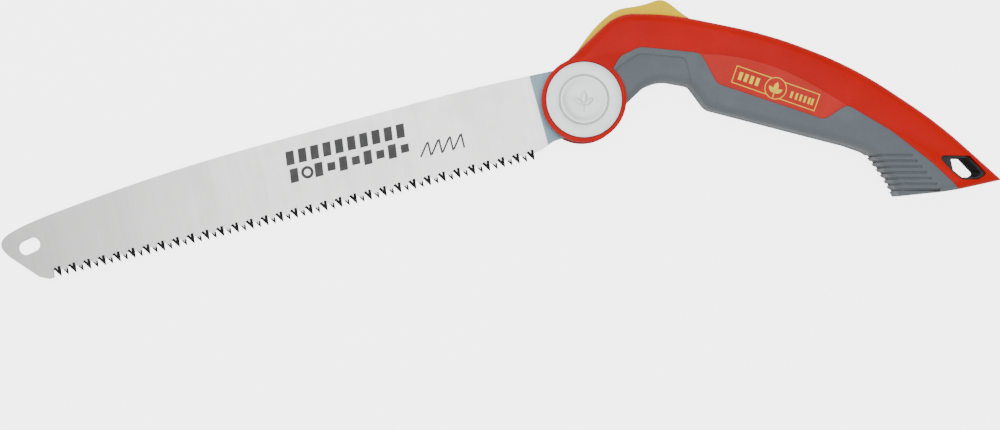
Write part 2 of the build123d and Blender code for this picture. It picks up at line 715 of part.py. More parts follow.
with BuildPart() as finger_cut:
    with BuildSketch(MID_PLANE):
        add(finger_field.sketch)
    extrude(amount=HALF_THICK + 1)
    add(outer_half.moved(Location((0, 0, -FINGER_SINK))), mode=Mode.SUBTRACT)

with BuildPart() as groove_cut:
    with BuildSketch(MID_PLANE):
        for groove in range(GROOVES):
            y = GROOVE_TOP - groove * GROOVE_PITCH
            right = GROOVE_RIGHT + groove * GROOVE_STEP
            with Locations((right - 30, y)):
                SlotOverall(60, GROOVE_W)
    extrude(amount=HALF_THICK + 1)
    add(groove_half, mode=Mode.SUBTRACT)

with BuildPart() as grip_front:
    add(outer_half)
    add(inner_half, mode=Mode.SUBTRACT)
    with BuildSketch(MID_PLANE):
        add(grip_field.sketch)
        Circle(BOSS_R + RIM_CLEAR + SEAM_GAP, mode=Mode.SUBTRACT)
    extrude(amount=HALF_THICK + 1, mode=Mode.INTERSECT)
    add(finger_cut.part, mode=Mode.SUBTRACT)
    add(groove_cut.part, mode=Mode.SUBTRACT)
    # The tang's shoulder passes here when the saw is folded
    with BuildSketch(MID_PLANE):
        Circle(FORK_CLEAR_R)
    extrude(amount=FORK_HALF, mode=Mode.SUBTRACT)
grip_front.part.label = "grip_front"
export_step(grip_front.part, "parts/grip_front.step")

with BuildPart() as grip_back:
    add(flipped(grip_front.part))
grip_back.part.label = "grip_back"
export_step(grip_back.part, "parts/grip_back.step")


# ---- Handle screws ---------------------------------------------------------

with BuildPart() as handle_screws:
    with BuildSketch(level(-SCREW_SEAT)):
        with Locations(SCREW_AT):
            Circle(SCREW_HEAD_R)
    extrude(amount=-SCREW_HEAD_H)
    with BuildSketch(level(-SCREW_SEAT)):
        with Locations(SCREW_AT):
            Circle(SCREW_R)
    extrude(amount=SCREW_SEAT + SCREW_REACH)
    with BuildSketch(level(-SCREW_SEAT - SCREW_HEAD_H)):
        with Locations(SCREW_AT):
            RegularPolygon(SCREW_KEY / 2, 6, major_radius=False)
    extrude(amount=1.4, mode=Mode.SUBTRACT)
handle_screws.part.label = "handle_screws"
export_step(handle_screws.part, "parts/handle_screws.step")

with BuildPart() as screw_inserts:
    with BuildSketch(MID_PLANE):
        with Locations(SCREW_AT):
            Circle(INSERT_R)
        with Locations(SCREW_AT):
            Circle(SCREW_R, mode=Mode.SUBTRACT)
    extrude(amount=SCREW_REACH)
screw_inserts.part.label = "screw_inserts"
export_step(screw_inserts.part, "parts/screw_inserts.step")
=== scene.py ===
import enum
import logging
from contextlib import contextmanager
from dataclasses import dataclass
from math import cos, pi, radians, sin
from typing import Callable, Iterator, Sequence

import bpy
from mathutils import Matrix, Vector


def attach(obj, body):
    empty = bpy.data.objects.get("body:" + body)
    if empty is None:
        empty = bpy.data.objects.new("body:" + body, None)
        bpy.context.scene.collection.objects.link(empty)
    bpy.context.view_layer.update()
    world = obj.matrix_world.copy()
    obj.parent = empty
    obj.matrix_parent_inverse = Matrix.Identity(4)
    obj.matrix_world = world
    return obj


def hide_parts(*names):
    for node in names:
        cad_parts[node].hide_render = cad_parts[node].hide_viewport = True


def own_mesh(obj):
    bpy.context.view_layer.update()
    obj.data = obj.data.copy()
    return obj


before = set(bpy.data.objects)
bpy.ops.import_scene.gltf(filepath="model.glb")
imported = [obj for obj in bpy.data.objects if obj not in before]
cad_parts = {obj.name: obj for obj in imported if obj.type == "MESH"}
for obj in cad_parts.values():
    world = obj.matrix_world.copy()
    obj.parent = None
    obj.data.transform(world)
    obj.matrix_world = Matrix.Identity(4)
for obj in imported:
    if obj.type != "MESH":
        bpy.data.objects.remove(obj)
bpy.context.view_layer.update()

# Folding pruning saw: the finished look of each sub-assembly, and the studio.
# Metres. +X runs to the handle's tail, +Y to the lock lever, +Z along the pivot.

LOG = logging.getLogger("pruning_saw")
Colour = tuple[float, float, float]

MM = 0.001
MID = 13.0 * MM                 # height of the middle plane
BLADE_ANGLE = radians(193.8)    # where the open blade points
BLADE_FACE = MID + 0.8 * MM     # ground front face of the blade


class Side(enum.Enum):
    """Which side of the middle plane a piece is on, as its node's name ends."""

    FRONT = "front"
    BACK = "back"


class Body(enum.Enum):
    """Moving bodies of the saw."""

    HANDLE = "handle"
    BLADE = "blade"
    LEVER = "lock_lever"


# ---- Shader building --------------------------------------------------------


class Graph:
    """Thin wrapper that makes node trees short to write."""

    def __init__(self, tree: bpy.types.NodeTree) -> None:
        self.tree = tree

    def add(self, kind: str, inputs: dict | None = None, **settings) -> bpy.types.Node:
        """Add a node.

        Args:
            kind: node type, such as "ShaderNodeMath".
            inputs: socket name or number to a constant or to a socket to link from.
            **settings: attributes of the node.

        Returns:
            The new node.
        """
        node = self.tree.nodes.new(kind)
        for key, value in settings.items():
            setattr(node, key, value)
        for key, value in (inputs or {}).items():
            self.feed(node.inputs[key], value)
        return node

    def feed(self, socket: bpy.types.NodeSocket, value) -> None:
        """Link a socket into another, or set its constant."""
        if isinstance(value, bpy.types.NodeSocket):
            self.tree.links.new(value, socket)
        else:
            socket.default_value = value

    def maths(self, operation: str, *values, clamp: bool = False) -> bpy.types.NodeSocket:
        """Result of a Math node."""
        node = self.add("ShaderNodeMath", operation=operation, use_clamp=clamp)
        for socket, value in zip(node.inputs, values):
            self.feed(socket, value)
        return node.outputs[0]

    def ramp(self, value: bpy.types.NodeSocket, low: float, high: float,
             to_low: float = 0.0, to_high: float = 1.0) -> bpy.types.NodeSocket:
        """Smooth, clamped change of range."""
        node = self.add("ShaderNodeMapRange", {
            "Value": value, "From Min": low, "From Max": high, "To Min": to_low, "To Max": to_high,
        }, interpolation_type="SMOOTHSTEP")
        return node.outputs["Result"]

    def mix(self, factor, first, second, blend: str = "MIX") -> bpy.types.NodeSocket:
        """Colour between two colours, or another blend of them."""
        node = self.add("ShaderNodeMix", data_type="RGBA", blend_type=blend)
        for name, value in (("Factor_Float", factor), ("A_Color", first), ("B_Color", second)):
            socket = next(s for s in node.inputs if s.identifier == name)
            self.feed(socket, value)
        return next(s for s in node.outputs if s.identifier == "Result_Color")

    def noise(self, vector, scale: float, detail: float = 3.0,
              roughness: float = 0.55) -> bpy.types.NodeSocket:
        """Value of a Noise texture."""
        node = self.add("ShaderNodeTexNoise", {
            "Vector": vector, "Scale": scale, "Detail": detail, "Roughness": roughness,
        })
        return node.outputs["Fac"]


def rgba(colour: Colour) -> tuple[float, float, float, float]:
    """Colour with full alpha."""
    return (*colour, 1.0)


def group_tree(name: str, inputs: dict[str, tuple[str, float]],
               outputs: dict[str, str]) -> tuple[bpy.types.NodeTree, Graph, dict, dict]:
    """Start a node group.

    Args:
        name: name of the group.
        inputs: input name to its kind of socket and its constant.
        outputs: output name to its kind of socket.

    Returns:
        The tree, its graph, its input sockets and its output sockets.
    """
    tree = bpy.data.node_groups.new(name, "ShaderNodeTree")
    for label, (kind, value) in inputs.items():
        socket = tree.interface.new_socket(label, in_out="INPUT", socket_type=f"NodeSocket{kind}")
        if kind == "Float":
            socket.default_value = value
    for label, kind in outputs.items():
        tree.interface.new_socket(label, in_out="OUTPUT", socket_type=f"NodeSocket{kind}")
    graph = Graph(tree)
    entry = graph.add("NodeGroupInput")
    leave = graph.add("NodeGroupOutput")
    return tree, graph, entry.outputs, leave.inputs


def make_grain() -> bpy.types.NodeTree:
    """Fine grain of a moulded or blasted skin, as a height and a bumped normal."""
    tree, graph, given, result = group_tree(
        "fine_grain",
        {"Vector": ("Vector", 0), "Scale": ("Float", 900.0), "Depth": ("Float", 0.05)},
        {"Height": "Float", "Normal": "Vector"},
    )
    cells = graph.add("ShaderNodeTexVoronoi", {"Vector": given["Vector"], "Scale": given["Scale"]})
    finer = graph.maths("MULTIPLY", given["Scale"], 2.3)
    cloud = graph.add("ShaderNodeTexNoise",
                      {"Vector": given["Vector"], "Scale": finer, "Detail": 2.0})
    height = graph.maths("ADD", graph.maths("MULTIPLY", cells.outputs["Distance"], 0.6),
                         graph.maths("MULTIPLY", cloud.outputs["Fac"], 0.7))
    graph.feed(result["Height"], height)
    bump = graph.add("ShaderNodeBump", {"Height": height, "Distance": 0.0003,
                                        "Strength": given["Depth"]})
    graph.feed(result["Normal"], bump.outputs["Normal"])
    return tree


def make_marks() -> bpy.types.NodeTree:
    """Handling marks: a soft smudge mask and a mask of small specks."""
    tree, graph, given, result = group_tree(
        "handling_marks", {"Vector": ("Vector", 0), "Scale": ("Float", 60.0)},
        {"Smudge": "Float", "Speck": "Float"},
    )
    cloud = graph.add("ShaderNodeTexNoise", {"Vector": given["Vector"], "Scale": given["Scale"],
                                             "Detail": 5.0, "Roughness": 0.6})
    graph.feed(result["Smudge"], graph.ramp(cloud.outputs["Fac"], 0.42, 0.68))
    dots = graph.add("ShaderNodeTexVoronoi", {
        "Vector": given["Vector"], "Scale": graph.maths("MULTIPLY", given["Scale"], 9.0),
    })
    graph.feed(result["Speck"], graph.ramp(dots.outputs["Distance"], 0.10, 0.03))
    return tree


def make_streaks() -> bpy.types.NodeTree:
    """Streaks of grinding or brushing that run along the vector's Y."""
    tree, graph, given, result = group_tree(
        "ground_streaks",
        {"Vector": ("Vector", 0), "Scale": ("Float", 900.0), "Depth": ("Float", 0.1)},
        {"Streak": "Float", "Normal": "Vector"},
    )
    drawn = graph.add("ShaderNodeMapping", {"Vector": given["Vector"], "Scale": (1.0, 0.022, 1.0)})
    fine = graph.add("ShaderNodeTexNoise", {"Vector": drawn.outputs[0], "Scale": given["Scale"],
                                            "Detail": 4.0, "Roughness": 0.7})
    broad = graph.add("ShaderNodeTexNoise", {
        "Vector": drawn.outputs[0], "Scale": graph.maths("MULTIPLY", given["Scale"], 0.13),
        "Detail": 2.0,
    })
    streak = graph.maths("ADD", graph.maths("MULTIPLY", fine.outputs["Fac"], 0.55),
                         graph.maths("MULTIPLY", broad.outputs["Fac"], 0.45))
    graph.feed(result["Streak"], streak)
    bump = graph.add("ShaderNodeBump", {"Height": streak, "Distance": 0.0002,
                                        "Strength": given["Depth"]})
    graph.feed(result["Normal"], bump.outputs["Normal"])
    return tree


GRAIN = make_grain()
MARKS = make_marks()
STREAKS = make_streaks()


@dataclass(frozen=True)
class Finish:
    """A surface finish: one material, made once and shared."""

    name: str
    colour: Colour
    roughness: float

    def material(self) -> bpy.types.Material:
        """The finish as a material.

        Returns:
            The material, made on the first call.
        """
        found = bpy.data.materials.get(self.name)
        if found is not None and found.get("finish"):
            return found
        made = bpy.data.materials.new(self.name)
        made.use_nodes = True
        made["finish"] = True
        made.diffuse_color = rgba(self.colour)
        made.node_tree.nodes.clear()
        graph = Graph(made.node_tree)
        shader = graph.add("ShaderNodeBsdfPrincipled", {"Roughness": self.roughness})
        shader.inputs["Base Color"].default_value = rgba(self.colour)
        graph.add("ShaderNodeOutputMaterial", {"Surface": shader.outputs[0]})
        place = graph.add("ShaderNodeTexCoord").outputs["Object"]
        self.dress(graph, shader, place)
        LOG.info("finish %s", self.name)
        return made

    def dress(self, graph: Graph, shader: bpy.types.Node, place: bpy.types.NodeSocket) -> None:
        """Add the finish's own detail to its shader."""

    def use_group(self, graph: Graph, tree: bpy.types.NodeTree, place: bpy.types.NodeSocket,
                  **constants: float) -> bpy.types.NodeOutputs:
        """Add one of the shared groups.

        Args:
            graph: graph of the material.
            tree: the group.
            place: coordinates it is laid out in.
            **constants: the group's constants, by name.

        Returns:
            The outputs of the group's node.
        """
        node = graph.add("ShaderNodeGroup", node_tree=tree)
        graph.feed(node.inputs["Vector"], place)
        for key, value in constants.items():
            node.inputs[key].default_value = value
        return node.outputs


@dataclass(frozen=True)
class MouldedPlastic(Finish):
    """Moulded plastic with a fine grain and slight handling marks."""

    grain_scale: float = 1100.0
    grain_depth: float = 0.12
    marks: float = 0.10
    shade: float = 0.90         # how far the colour drifts in the flow of the moulding
    gloss: float = 0.12

    def dress(self, graph: Graph, shader: bpy.types.Node, place: bpy.types.NodeSocket) -> None:
        """Flow shading in the colour, grain in the normal, smudges in the roughness."""
        marks = self.use_group(graph, MARKS, place, Scale=55.0)
        grain = self.use_group(graph, GRAIN, place, Scale=self.grain_scale, Depth=self.grain_depth)
        drift = graph.noise(place, 28.0, 2.0)
        darker = rgba(tuple(part * self.shade for part in self.colour))
        colour = graph.mix(graph.ramp(drift, 0.35, 0.65), rgba(self.colour), darker)
        dust = rgba(tuple(part * 0.8 + 0.12 for part in self.colour))
        specks = graph.maths("MULTIPLY", marks["Speck"], self.marks)
        colour = graph.mix(specks, colour, dust)
        graph.feed(shader.inputs["Base Color"], colour)
        rough = graph.maths("ADD", self.roughness,
                            graph.maths("MULTIPLY", marks["Smudge"], self.marks))
        graph.feed(shader.inputs["Roughness"], rough)
        shader.inputs["Specular IOR Level"].default_value = self.gloss
        graph.feed(shader.inputs["Normal"], grain["Normal"])


@dataclass(frozen=True)
class SoftRubber(Finish):
    """Matte overmoulded rubber with a leather-like texture."""

    sheen: float = 0.15

    def dress(self, graph: Graph, shader: bpy.types.Node, place: bpy.types.NodeSocket) -> None:
        """Coarser grain, wide soft sheen and rubbed patches."""
        grain = self.use_group(graph, GRAIN, place, Scale=1500.0, Depth=0.3)
        marks = self.use_group(graph, MARKS, place, Scale=45.0)
        rubbed = rgba(tuple(part * 1.16 for part in self.colour))
        colour = graph.mix(graph.maths("MULTIPLY", marks["Smudge"], 0.5), rgba(self.colour), rubbed)
        graph.feed(shader.inputs["Base Color"], colour)
        rough = graph.maths("SUBTRACT", self.roughness,
                            graph.maths("MULTIPLY", marks["Smudge"], 0.08))
        graph.feed(shader.inputs["Roughness"], rough)
        shader.inputs["Sheen Weight"].default_value = self.sheen
        shader.inputs["Sheen Roughness"].default_value = 0.6
        shader.inputs["Specular IOR Level"].default_value = 0.35
        graph.feed(shader.inputs["Normal"], grain["Normal"])


@dataclass(frozen=True)
class BrushedMetal(Finish):
    """Ground or turned metal with streaks along one direction."""

    turn: float = 0.0           # direction of the streaks' normal, from +X
    contrast: float = 0.12
    scale: float = 900.0
    depth: float = 0.12
    metallic: float = 1.0

    def dress(self, graph: Graph, shader: bpy.types.Node, place: bpy.types.NodeSocket) -> None:
        """Streaks in colour, roughness and normal; faint smudges."""
        axes = graph.add("ShaderNodeMapping", {"Vector": place, "Rotation": (0, 0, -self.turn)})
        streaks = self.use_group(graph, STREAKS, axes.outputs[0],
                                 Scale=self.scale, Depth=self.depth)
        marks = self.use_group(graph, MARKS, place, Scale=40.0)
        shade = graph.ramp(streaks["Streak"], 0.35, 0.65, 1 - 2 * self.contrast, 1.0)
        colour = graph.mix(1.0, self.base(graph, axes.outputs[0]), shade, blend="MULTIPLY")
        graph.feed(shader.inputs["Base Color"], colour)
        rough = graph.maths("ADD", self.roughness,
                            graph.maths("MULTIPLY", marks["Smudge"], 0.05))
        graph.feed(shader.inputs["Roughness"], rough)
        shader.inputs["Metallic"].default_value = self.metallic
        graph.feed(shader.inputs["Normal"], streaks["Normal"])

    def base(self, graph: Graph, axes: bpy.types.NodeSocket):
        """Colour between the streaks."""
        return rgba(self.colour)


@dataclass(frozen=True)
class BladeSteel(BrushedMetal):
    """Ground blade with an unground, blue-grey tang near the pivot."""

    tang: Colour = (0.16, 0.23, 0.27)
    ground_from: float = 24.6 * MM

    def base(self, graph: Graph, axes: bpy.types.NodeSocket):
        """Tang up to the grinding line, ground steel beyond it."""
        along = graph.add("ShaderNodeSeparateXYZ", {"Vector": axes})
        lean = graph.maths("MULTIPLY", along.outputs["Y"], 0.027)
        along_u = graph.maths("ADD", along.outputs["X"], lean)
        ground = graph.ramp(along_u, self.ground_from - 0.25 * MM, self.ground_from + 0.25 * MM)
        return graph.mix(ground, rgba(self.tang), rgba(self.colour))


@dataclass(frozen=True)
class BlastedMetal(Finish):
    """Satin metal with a fine blasted grain."""

    metallic: float = 0.85

    def dress(self, graph: Graph, shader: bpy.types.Node, place: bpy.types.NodeSocket) -> None:
        """Sparkle in the normal, faint clouds in colour and roughness."""
        grain = self.use_group(graph, GRAIN, place, Scale=1900.0, Depth=0.25)
        marks = self.use_group(graph, MARKS, place, Scale=90.0)
        dark = rgba(tuple(part * 0.86 for part in self.colour))
        colour = graph.mix(graph.maths("MULTIPLY", marks["Smudge"], 0.6), rgba(self.colour), dark)
        graph.feed(shader.inputs["Base Color"], colour)
        rough = graph.maths("ADD", self.roughness,
                            graph.maths("MULTIPLY", grain["Height"], 0.08))
        graph.feed(shader.inputs["Roughness"], rough)
        shader.inputs["Metallic"].default_value = self.metallic
        graph.feed(shader.inputs["Normal"], grain["Normal"])


@dataclass(frozen=True)
class PrintInk(Finish):
    """Printed ink, slightly uneven and worn through in places."""

    under: Colour = (0.5, 0.5, 0.5)
    wear: float = 0.08

    def dress(self, graph: Graph, shader: bpy.types.Node, place: bpy.types.NodeSocket) -> None:
        """Ink over the colour below it."""
        marks = self.use_group(graph, MARKS, place, Scale=160.0)
        worn = graph.maths("MULTIPLY", marks["Smudge"], self.wear)
        graph.feed(shader.inputs["Base Color"],
                   graph.mix(worn, rgba(self.colour), rgba(self.under)))
        grain = self.use_group(graph, GRAIN, place, Scale=2500.0, Depth=0.1)
        graph.feed(shader.inputs["Normal"], grain["Normal"])


RED_SHELL = MouldedPlastic("red_shell_plastic", (0.60, 0.004, 0.002), 0.42, marks=0.04)
# Sunk field of the cover: a finer, duller grain, and a red lighter than the shell's that is painted
# light.
RED_FACET_GRAIN_AND_PAINTED_LIGHT = MouldedPlastic("red_facet_grain_and_painted_light", (0.66, 0.022, 0.014), 0.62, grain_scale=1700.0,
                           grain_depth=0.35, marks=0.05, gloss=0.35)
FRAME_NYLON = MouldedPlastic("frame_nylon_grey", (0.050, 0.054, 0.058), 0.55, grain_depth=0.25)
GRIP_RUBBER = SoftRubber("grip_rubber_grey", (0.120, 0.138, 0.155), 0.62)
LEVER_YELLOW = MouldedPlastic("lever_yellow_plastic", (1.0, 0.74, 0.0), 0.38, marks=0.04,
                              shade=0.96)
WASHER_NYLON = MouldedPlastic("washer_nylon_white", (0.62, 0.60, 0.55), 0.5)
BLADE_STEEL = BladeSteel("blade_steel_ground", (0.80, 0.80, 0.79), 0.34, turn=BLADE_ANGLE,
                         contrast=0.05, depth=0.05)
# Painted shade: near-black steel on the teeth's sloped ground facets, standing in for the shade
# they fall into.
FACET_PAINTED_SHADE = BrushedMetal("tooth_facet_painted_shade", (0.05, 0.052, 0.055), 0.35, turn=BLADE_ANGLE,
                           contrast=0.2)
DISC_STEEL = BlastedMetal("disc_steel_blasted", (0.70, 0.73, 0.735), 0.30, metallic=0.95)
ZINC_STEEL = BrushedMetal("zinc_plated_steel", (0.62, 0.63, 0.64), 0.30, scale=1500.0)
SPRING_STEEL = BrushedMetal("spring_steel_wire", (0.42, 0.42, 0.43), 0.28, scale=2200.0)
SCREW_STEEL = BrushedMetal("screw_steel_black", (0.10, 0.10, 0.105), 0.38, scale=2000.0,
                           metallic=0.9)
INSERT_BRASS = BrushedMetal("insert_brass", (0.80, 0.58, 0.25), 0.32, scale=1800.0)
BLADE_INK = PrintInk("blade_ink_grey", (0.040, 0.040, 0.042), 0.55, under=(0.3, 0.3, 0.3))
LABEL_INK = PrintInk("label_ink_yellow", (1.0, 0.72, 0.01), 0.5, under=(0.7, 0.25, 0.02))


# ---- Modelling --------------------------------------------------------------


def select_only(obj: bpy.types.Object) -> None:
    """Make obj the only selected object, and the active one."""
    bpy.ops.object.select_all(action="DESELECT")
    obj.select_set(True)
    bpy.context.view_layer.objects.active = obj


@contextmanager
def editing(obj: bpy.types.Object, mode: str = "VERT", select: str = "SELECT") -> Iterator[None]:
    """Edit mode on obj, with everything, nothing or (KEEP) the marked faces selected."""
    select_only(obj)
    bpy.ops.object.mode_set(mode="EDIT")
    bpy.ops.mesh.select_mode(type=mode)
    if select != "KEEP":
        bpy.ops.mesh.select_all(action=select)
    yield
    bpy.ops.object.mode_set(mode="OBJECT")


def mark_faces(obj: bpy.types.Object, test: Callable[[bpy.types.MeshPolygon], bool]) -> int:
    """Select just the faces that pass a test.

    Args:
        obj: mesh object, in object mode.
        test: says whether a face is wanted.

    Returns:
        How many faces are selected.
    """
    mesh = obj.data
    for vertex in mesh.vertices:
        vertex.select = False
    for edge in mesh.edges:
        edge.select = False
    for face in mesh.polygons:
        face.select = test(face)
    return sum(face.select for face in mesh.polygons)


def apply_modifier(obj: bpy.types.Object, kind: str, **settings) -> None:
    """Add a modifier with these settings and apply it."""
    select_only(obj)
    modifier = obj.modifiers.new("shape", kind)
    for key, value in settings.items():
        setattr(modifier, key, value)
    bpy.ops.object.modifier_apply(modifier=modifier.name)


def smooth(obj: bpy.types.Object, angle: float = 35.0) -> None:
    """Smooth shading, with edges above the angle kept sharp."""
    select_only(obj)
    bpy.ops.object.shade_smooth_by_angle(angle=radians(angle))


def settle(obj: bpy.types.Object) -> None:
    """Put the object's transform into its mesh."""
    select_only(obj)
    bpy.ops.object.transform_apply(location=True, rotation=True, scale=True)


def duplicate(obj: bpy.types.Object, name: str) -> bpy.types.Object:
    """Copy of obj with a mesh of its own."""
    copy = obj.copy()
    copy.data = obj.data.copy()
    copy.name = name
    bpy.context.scene.collection.objects.link(copy)
    return copy


def join(pieces: Sequence[bpy.types.Object], name: str) -> bpy.types.Object:
    """Join objects into the first one and give it a name."""
    select_only(pieces[0])
    for piece in pieces[1:]:
        piece.select_set(True)
    bpy.ops.object.join()
    joined = bpy.context.view_layer.objects.active
    joined.name = name
    joined.data.name = name
    return joined


def cube(name: str, size: Sequence[float], centre: Sequence[float] = (0, 0, 0)) -> bpy.types.Object:
    """Box of a size about a centre."""
    bpy.ops.mesh.primitive_cube_add(size=1)
    made = bpy.context.active_object
    made.name = name
    with editing(made):
        bpy.ops.transform.resize(value=tuple(size), center_override=(0, 0, 0))
        bpy.ops.transform.translate(value=tuple(centre))
    return made


def cylinder(name: str, radius: float, depth: float, centre: Sequence[float] = (0, 0, 0),
             sides: int = 96) -> bpy.types.Object:
    """Upright cylinder about a centre."""
    bpy.ops.mesh.primitive_cylinder_add(vertices=sides, radius=radius, depth=depth)
    made = bpy.context.active_object
    made.name = name
    with editing(made):
        bpy.ops.transform.translate(value=tuple(centre))
    return made


def ring(name: str, radius: float, width: float, sides: int = 64) -> bpy.types.Object:
    """Flat ring on the XY plane, one sheet thick."""
    bpy.ops.mesh.primitive_circle_add(vertices=sides, radius=radius, fill_type="NGON")
    made = bpy.context.active_object
    made.name = name
    with editing(made, "FACE"):
        bpy.ops.mesh.inset(thickness=width)
        bpy.ops.mesh.delete(type="FACE")
    return made


def thicken(sheet: bpy.types.Object, thickness: float) -> None:
    """Give a flat sheet its thickness, downwards."""
    apply_modifier(sheet, "SOLIDIFY", thickness=thickness, offset=-1.0)


def sheet(name: str, size: Sequence[float], centre: Sequence[float]) -> bpy.types.Object:
    """Flat rectangle on the XY plane."""
    bpy.ops.mesh.primitive_plane_add(size=1)
    made = bpy.context.active_object
    made.name = name
    with editing(made):
        bpy.ops.transform.resize(value=(*size, 1), center_override=(0, 0, 0))
        bpy.ops.transform.translate(value=(*centre, 0))
    return made


def leaf(name: str, length: float, width: float, height: float) -> bpy.types.Object:
    """Pointed leaf along +X from the origin, on the XY plane; flat if it has no height."""
    bpy.ops.mesh.primitive_circle_add(vertices=20, radius=0.5, fill_type="NGON")
    made = bpy.context.active_object
    made.name = name
    ends = [v.index for v in made.data.vertices if abs(v.co.x) > 0.49]
    with editing(made):
        bpy.ops.transform.resize(value=(length * 0.8, width, 1), center_override=(0, 0, 0))
    for index in ends:
        for vertex in made.data.vertices:
            vertex.select = vertex.index == index
        for edge in made.data.edges:
            edge.select = False
        for face in made.data.polygons:
            face.select = False
        step = length * 0.1 if made.data.vertices[index].co.x > 0 else -length * 0.1
        with editing(made, "VERT", "KEEP"):
            bpy.ops.transform.translate(value=(step, 0, 0))
    with editing(made, "FACE"):
        bpy.ops.transform.translate(value=(length / 2, 0, 0))
        if height:
            bpy.ops.mesh.extrude_region_move(TRANSFORM_OT_translate={"value": (0, 0, height)})
            bpy.ops.mesh.select_all(action="SELECT")
            bpy.ops.mesh.normals_make_consistent(inside=False)
    return made


def turned(obj: bpy.types.Object, angle: float,
           move: Sequence[float] = (0, 0, 0)) -> bpy.types.Object:
    """Turn obj about Z and move it, with the transform put into its mesh."""
    obj.rotation_euler = (0, 0, angle)
    obj.location = tuple(move)
    settle(obj)
    return obj


def skin_of(node: str, bevel: float = 0.25 * MM, limit: float = 35.0) -> bpy.types.Object:
    """Finished skin of a CAD node: merged, with softened edges and smooth curves.

    Args:
        node: name of the CAD node.
        bevel: width of the softened edges, or 0 for none.
        limit: edges sharper than this many degrees are softened.

    Returns:
        The new object, at the origin.
    """
    source = bpy.data.objects[node]
    skin = duplicate(source, f"{node}_skin")
    for key in [key for key in skin.keys() if key.startswith("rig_")]:
        del skin[key]
    skin.parent = None
    skin.matrix_world = source.matrix_world
    settle(skin)
    with editing(skin):
        bpy.ops.mesh.customdata_custom_splitnormals_clear()
        bpy.ops.mesh.remove_doubles(threshold=1e-6)
        bpy.ops.mesh.dissolve_limited(angle_limit=radians(0.3))
    if bevel:
        apply_modifier(skin, "BEVEL", width=bevel, segments=2, limit_method="ANGLE",
                       angle_limit=radians(limit), miter_outer="MITER_ARC")
    smooth(skin, limit)
    return skin


def finish(obj: bpy.types.Object, body: Body, surface: Finish, *replaced: str,
           slot: str | None = None) -> bpy.types.Object:
    """Give a piece its material, its body, and the CAD nodes that it stands for."""
    obj.data.materials.clear()
    obj.data.materials.append(surface.material())
    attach(obj, body.value)
    if replaced:
        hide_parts(*replaced)
    LOG.info("piece %s: %d faces", obj.name, len(obj.data.polygons))
    return obj


def paint(node: str, surface: Finish) -> None:
    """Give a CAD node that is shown as it is its material."""
    shown = bpy.data.objects[node]
    for number in range(len(shown.material_slots)):
        shown.material_slots[number].link = "OBJECT"
        shown.material_slots[number].material = surface.material()
    LOG.info("painted %s", node)


# ---- Sub-assemblies ---------------------------------------------------------


@dataclass
class BladeAssembly:
    """Saw blade with its ground teeth and its printed marks."""

    tooth_zone: float = 17.5 * MM       # facets lie beyond this, across the blade
    ink: float = 0.03 * MM
    bold_from: float = 97.0 * MM        # bold rows, along the blade
    bold_to: float = 166.0 * MM
    row_height: float = 7.6 * MM
    upper_row: float = -8.0 * MM        # middle of each row, across the blade
    lower_row: float = 1.8 * MM
    bars: int = 10
    ring_place: int = 8
    bar_fill: float = 0.66              # share of its step that a bar takes
    thin_from: float = 69.0 * MM        # thin pictogram beside them
    thin_to: float = 94.0 * MM
    slant: float = 0.12

    def build(self) -> None:
        """Blade skin, then the print on it."""
        self.blade()
        self.print_rows()
        self.print_zigzag()

    def blade(self) -> None:
        """Blade with painted shade on the ground facets of its teeth: a near-black steel, picked by
        each face's slope.
        """
        made = skin_of("saw_blade", bevel=0.0, limit=12.0)
        finish(made, Body.BLADE, BLADE_STEEL, "saw_blade", slot="blade_steel")
        made.data.materials.append(FACET_PAINTED_SHADE.material())
        across = Vector((-sin(BLADE_ANGLE), cos(BLADE_ANGLE), 0))
        # Faces that slope between flat and upright, out on the teeth, get the painted shade.
        for face in made.data.polygons:
            is_facet = 0.15 < abs(face.normal.z) < 0.985
            if is_facet and face.center.dot(across) > self.tooth_zone:
                face.material_index = 1

    def bar(self, name: str, along: float, across: float, width: float,
            height: float) -> bpy.types.Object:
        """Slanted bar of ink at a place on the blade's face."""
        made = cube(name, (width, height, self.ink), (0, 0, self.ink / 2))
        mark_faces(made, lambda face: face.normal.y > 0.9)
        with editing(made, "FACE", "KEEP"):
            bpy.ops.transform.translate(value=(height * self.slant, 0, 0))
        made.location = (along, across, 0)
        settle(made)
        return made

    def on_blade(self, pieces: list[bpy.types.Object], name: str) -> None:
        """Join pieces laid out in the blade's axes and put them on its front face."""
        joined = join(pieces, name)
        turned(joined, BLADE_ANGLE, (0, 0, BLADE_FACE))
        finish(joined, Body.BLADE, BLADE_INK)

    def print_rows(self) -> None:
        """Two bold rows of plain shapes where the blade is printed."""
        pieces = []
        step = (self.bold_to - self.bold_from) / self.bars
        for number in range(self.bars):
            along = self.bold_from + (number + 0.5) * step
            pieces.append(self.bar("ink", along, self.upper_row, step * self.bar_fill,
                                   self.row_height))
        for number in range(self.bars):
            along = self.bold_from + (number + 0.5) * step
            if number == self.ring_place:
                seal = ring("seal", step * 0.5, 1.6 * MM)
                seal.location = (along, self.lower_row, self.ink)
                settle(seal)
                thicken(seal, self.ink)
                pieces.append(seal)
            else:
                tall = self.row_height * (1.0 if number % 2 else 0.6)
                pieces.append(self.bar("ink", along, self.lower_row, step * self.bar_fill, tall))
        self.on_blade(pieces, "blade_print_rows")

    def print_zigzag(self) -> None:
        """Thin saw-tooth line beside the bold rows."""
        teeth = 4
        step = (self.thin_to - self.thin_from) / teeth
        height = 8.0 * MM
        line = 1.0 * MM
        pieces = []
        for tooth in range(teeth):
            start = self.thin_from + tooth * step
            upright = cube("ink", (line, height, self.ink), (start, 5.2 * MM, self.ink / 2))
            pieces.append(upright)
            slope = Vector((step - line, height - line, 0))
            slanted = cube("ink", (slope.length, line, self.ink), (0, 0, self.ink / 2))
            turned(slanted, slope.to_2d().angle_signed(Vector((1, 0))),
                   (start + step / 2, 5.2 * MM, 0.002 * MM))
            pieces.append(slanted)
        self.on_blade(pieces, "blade_print_zigzag")


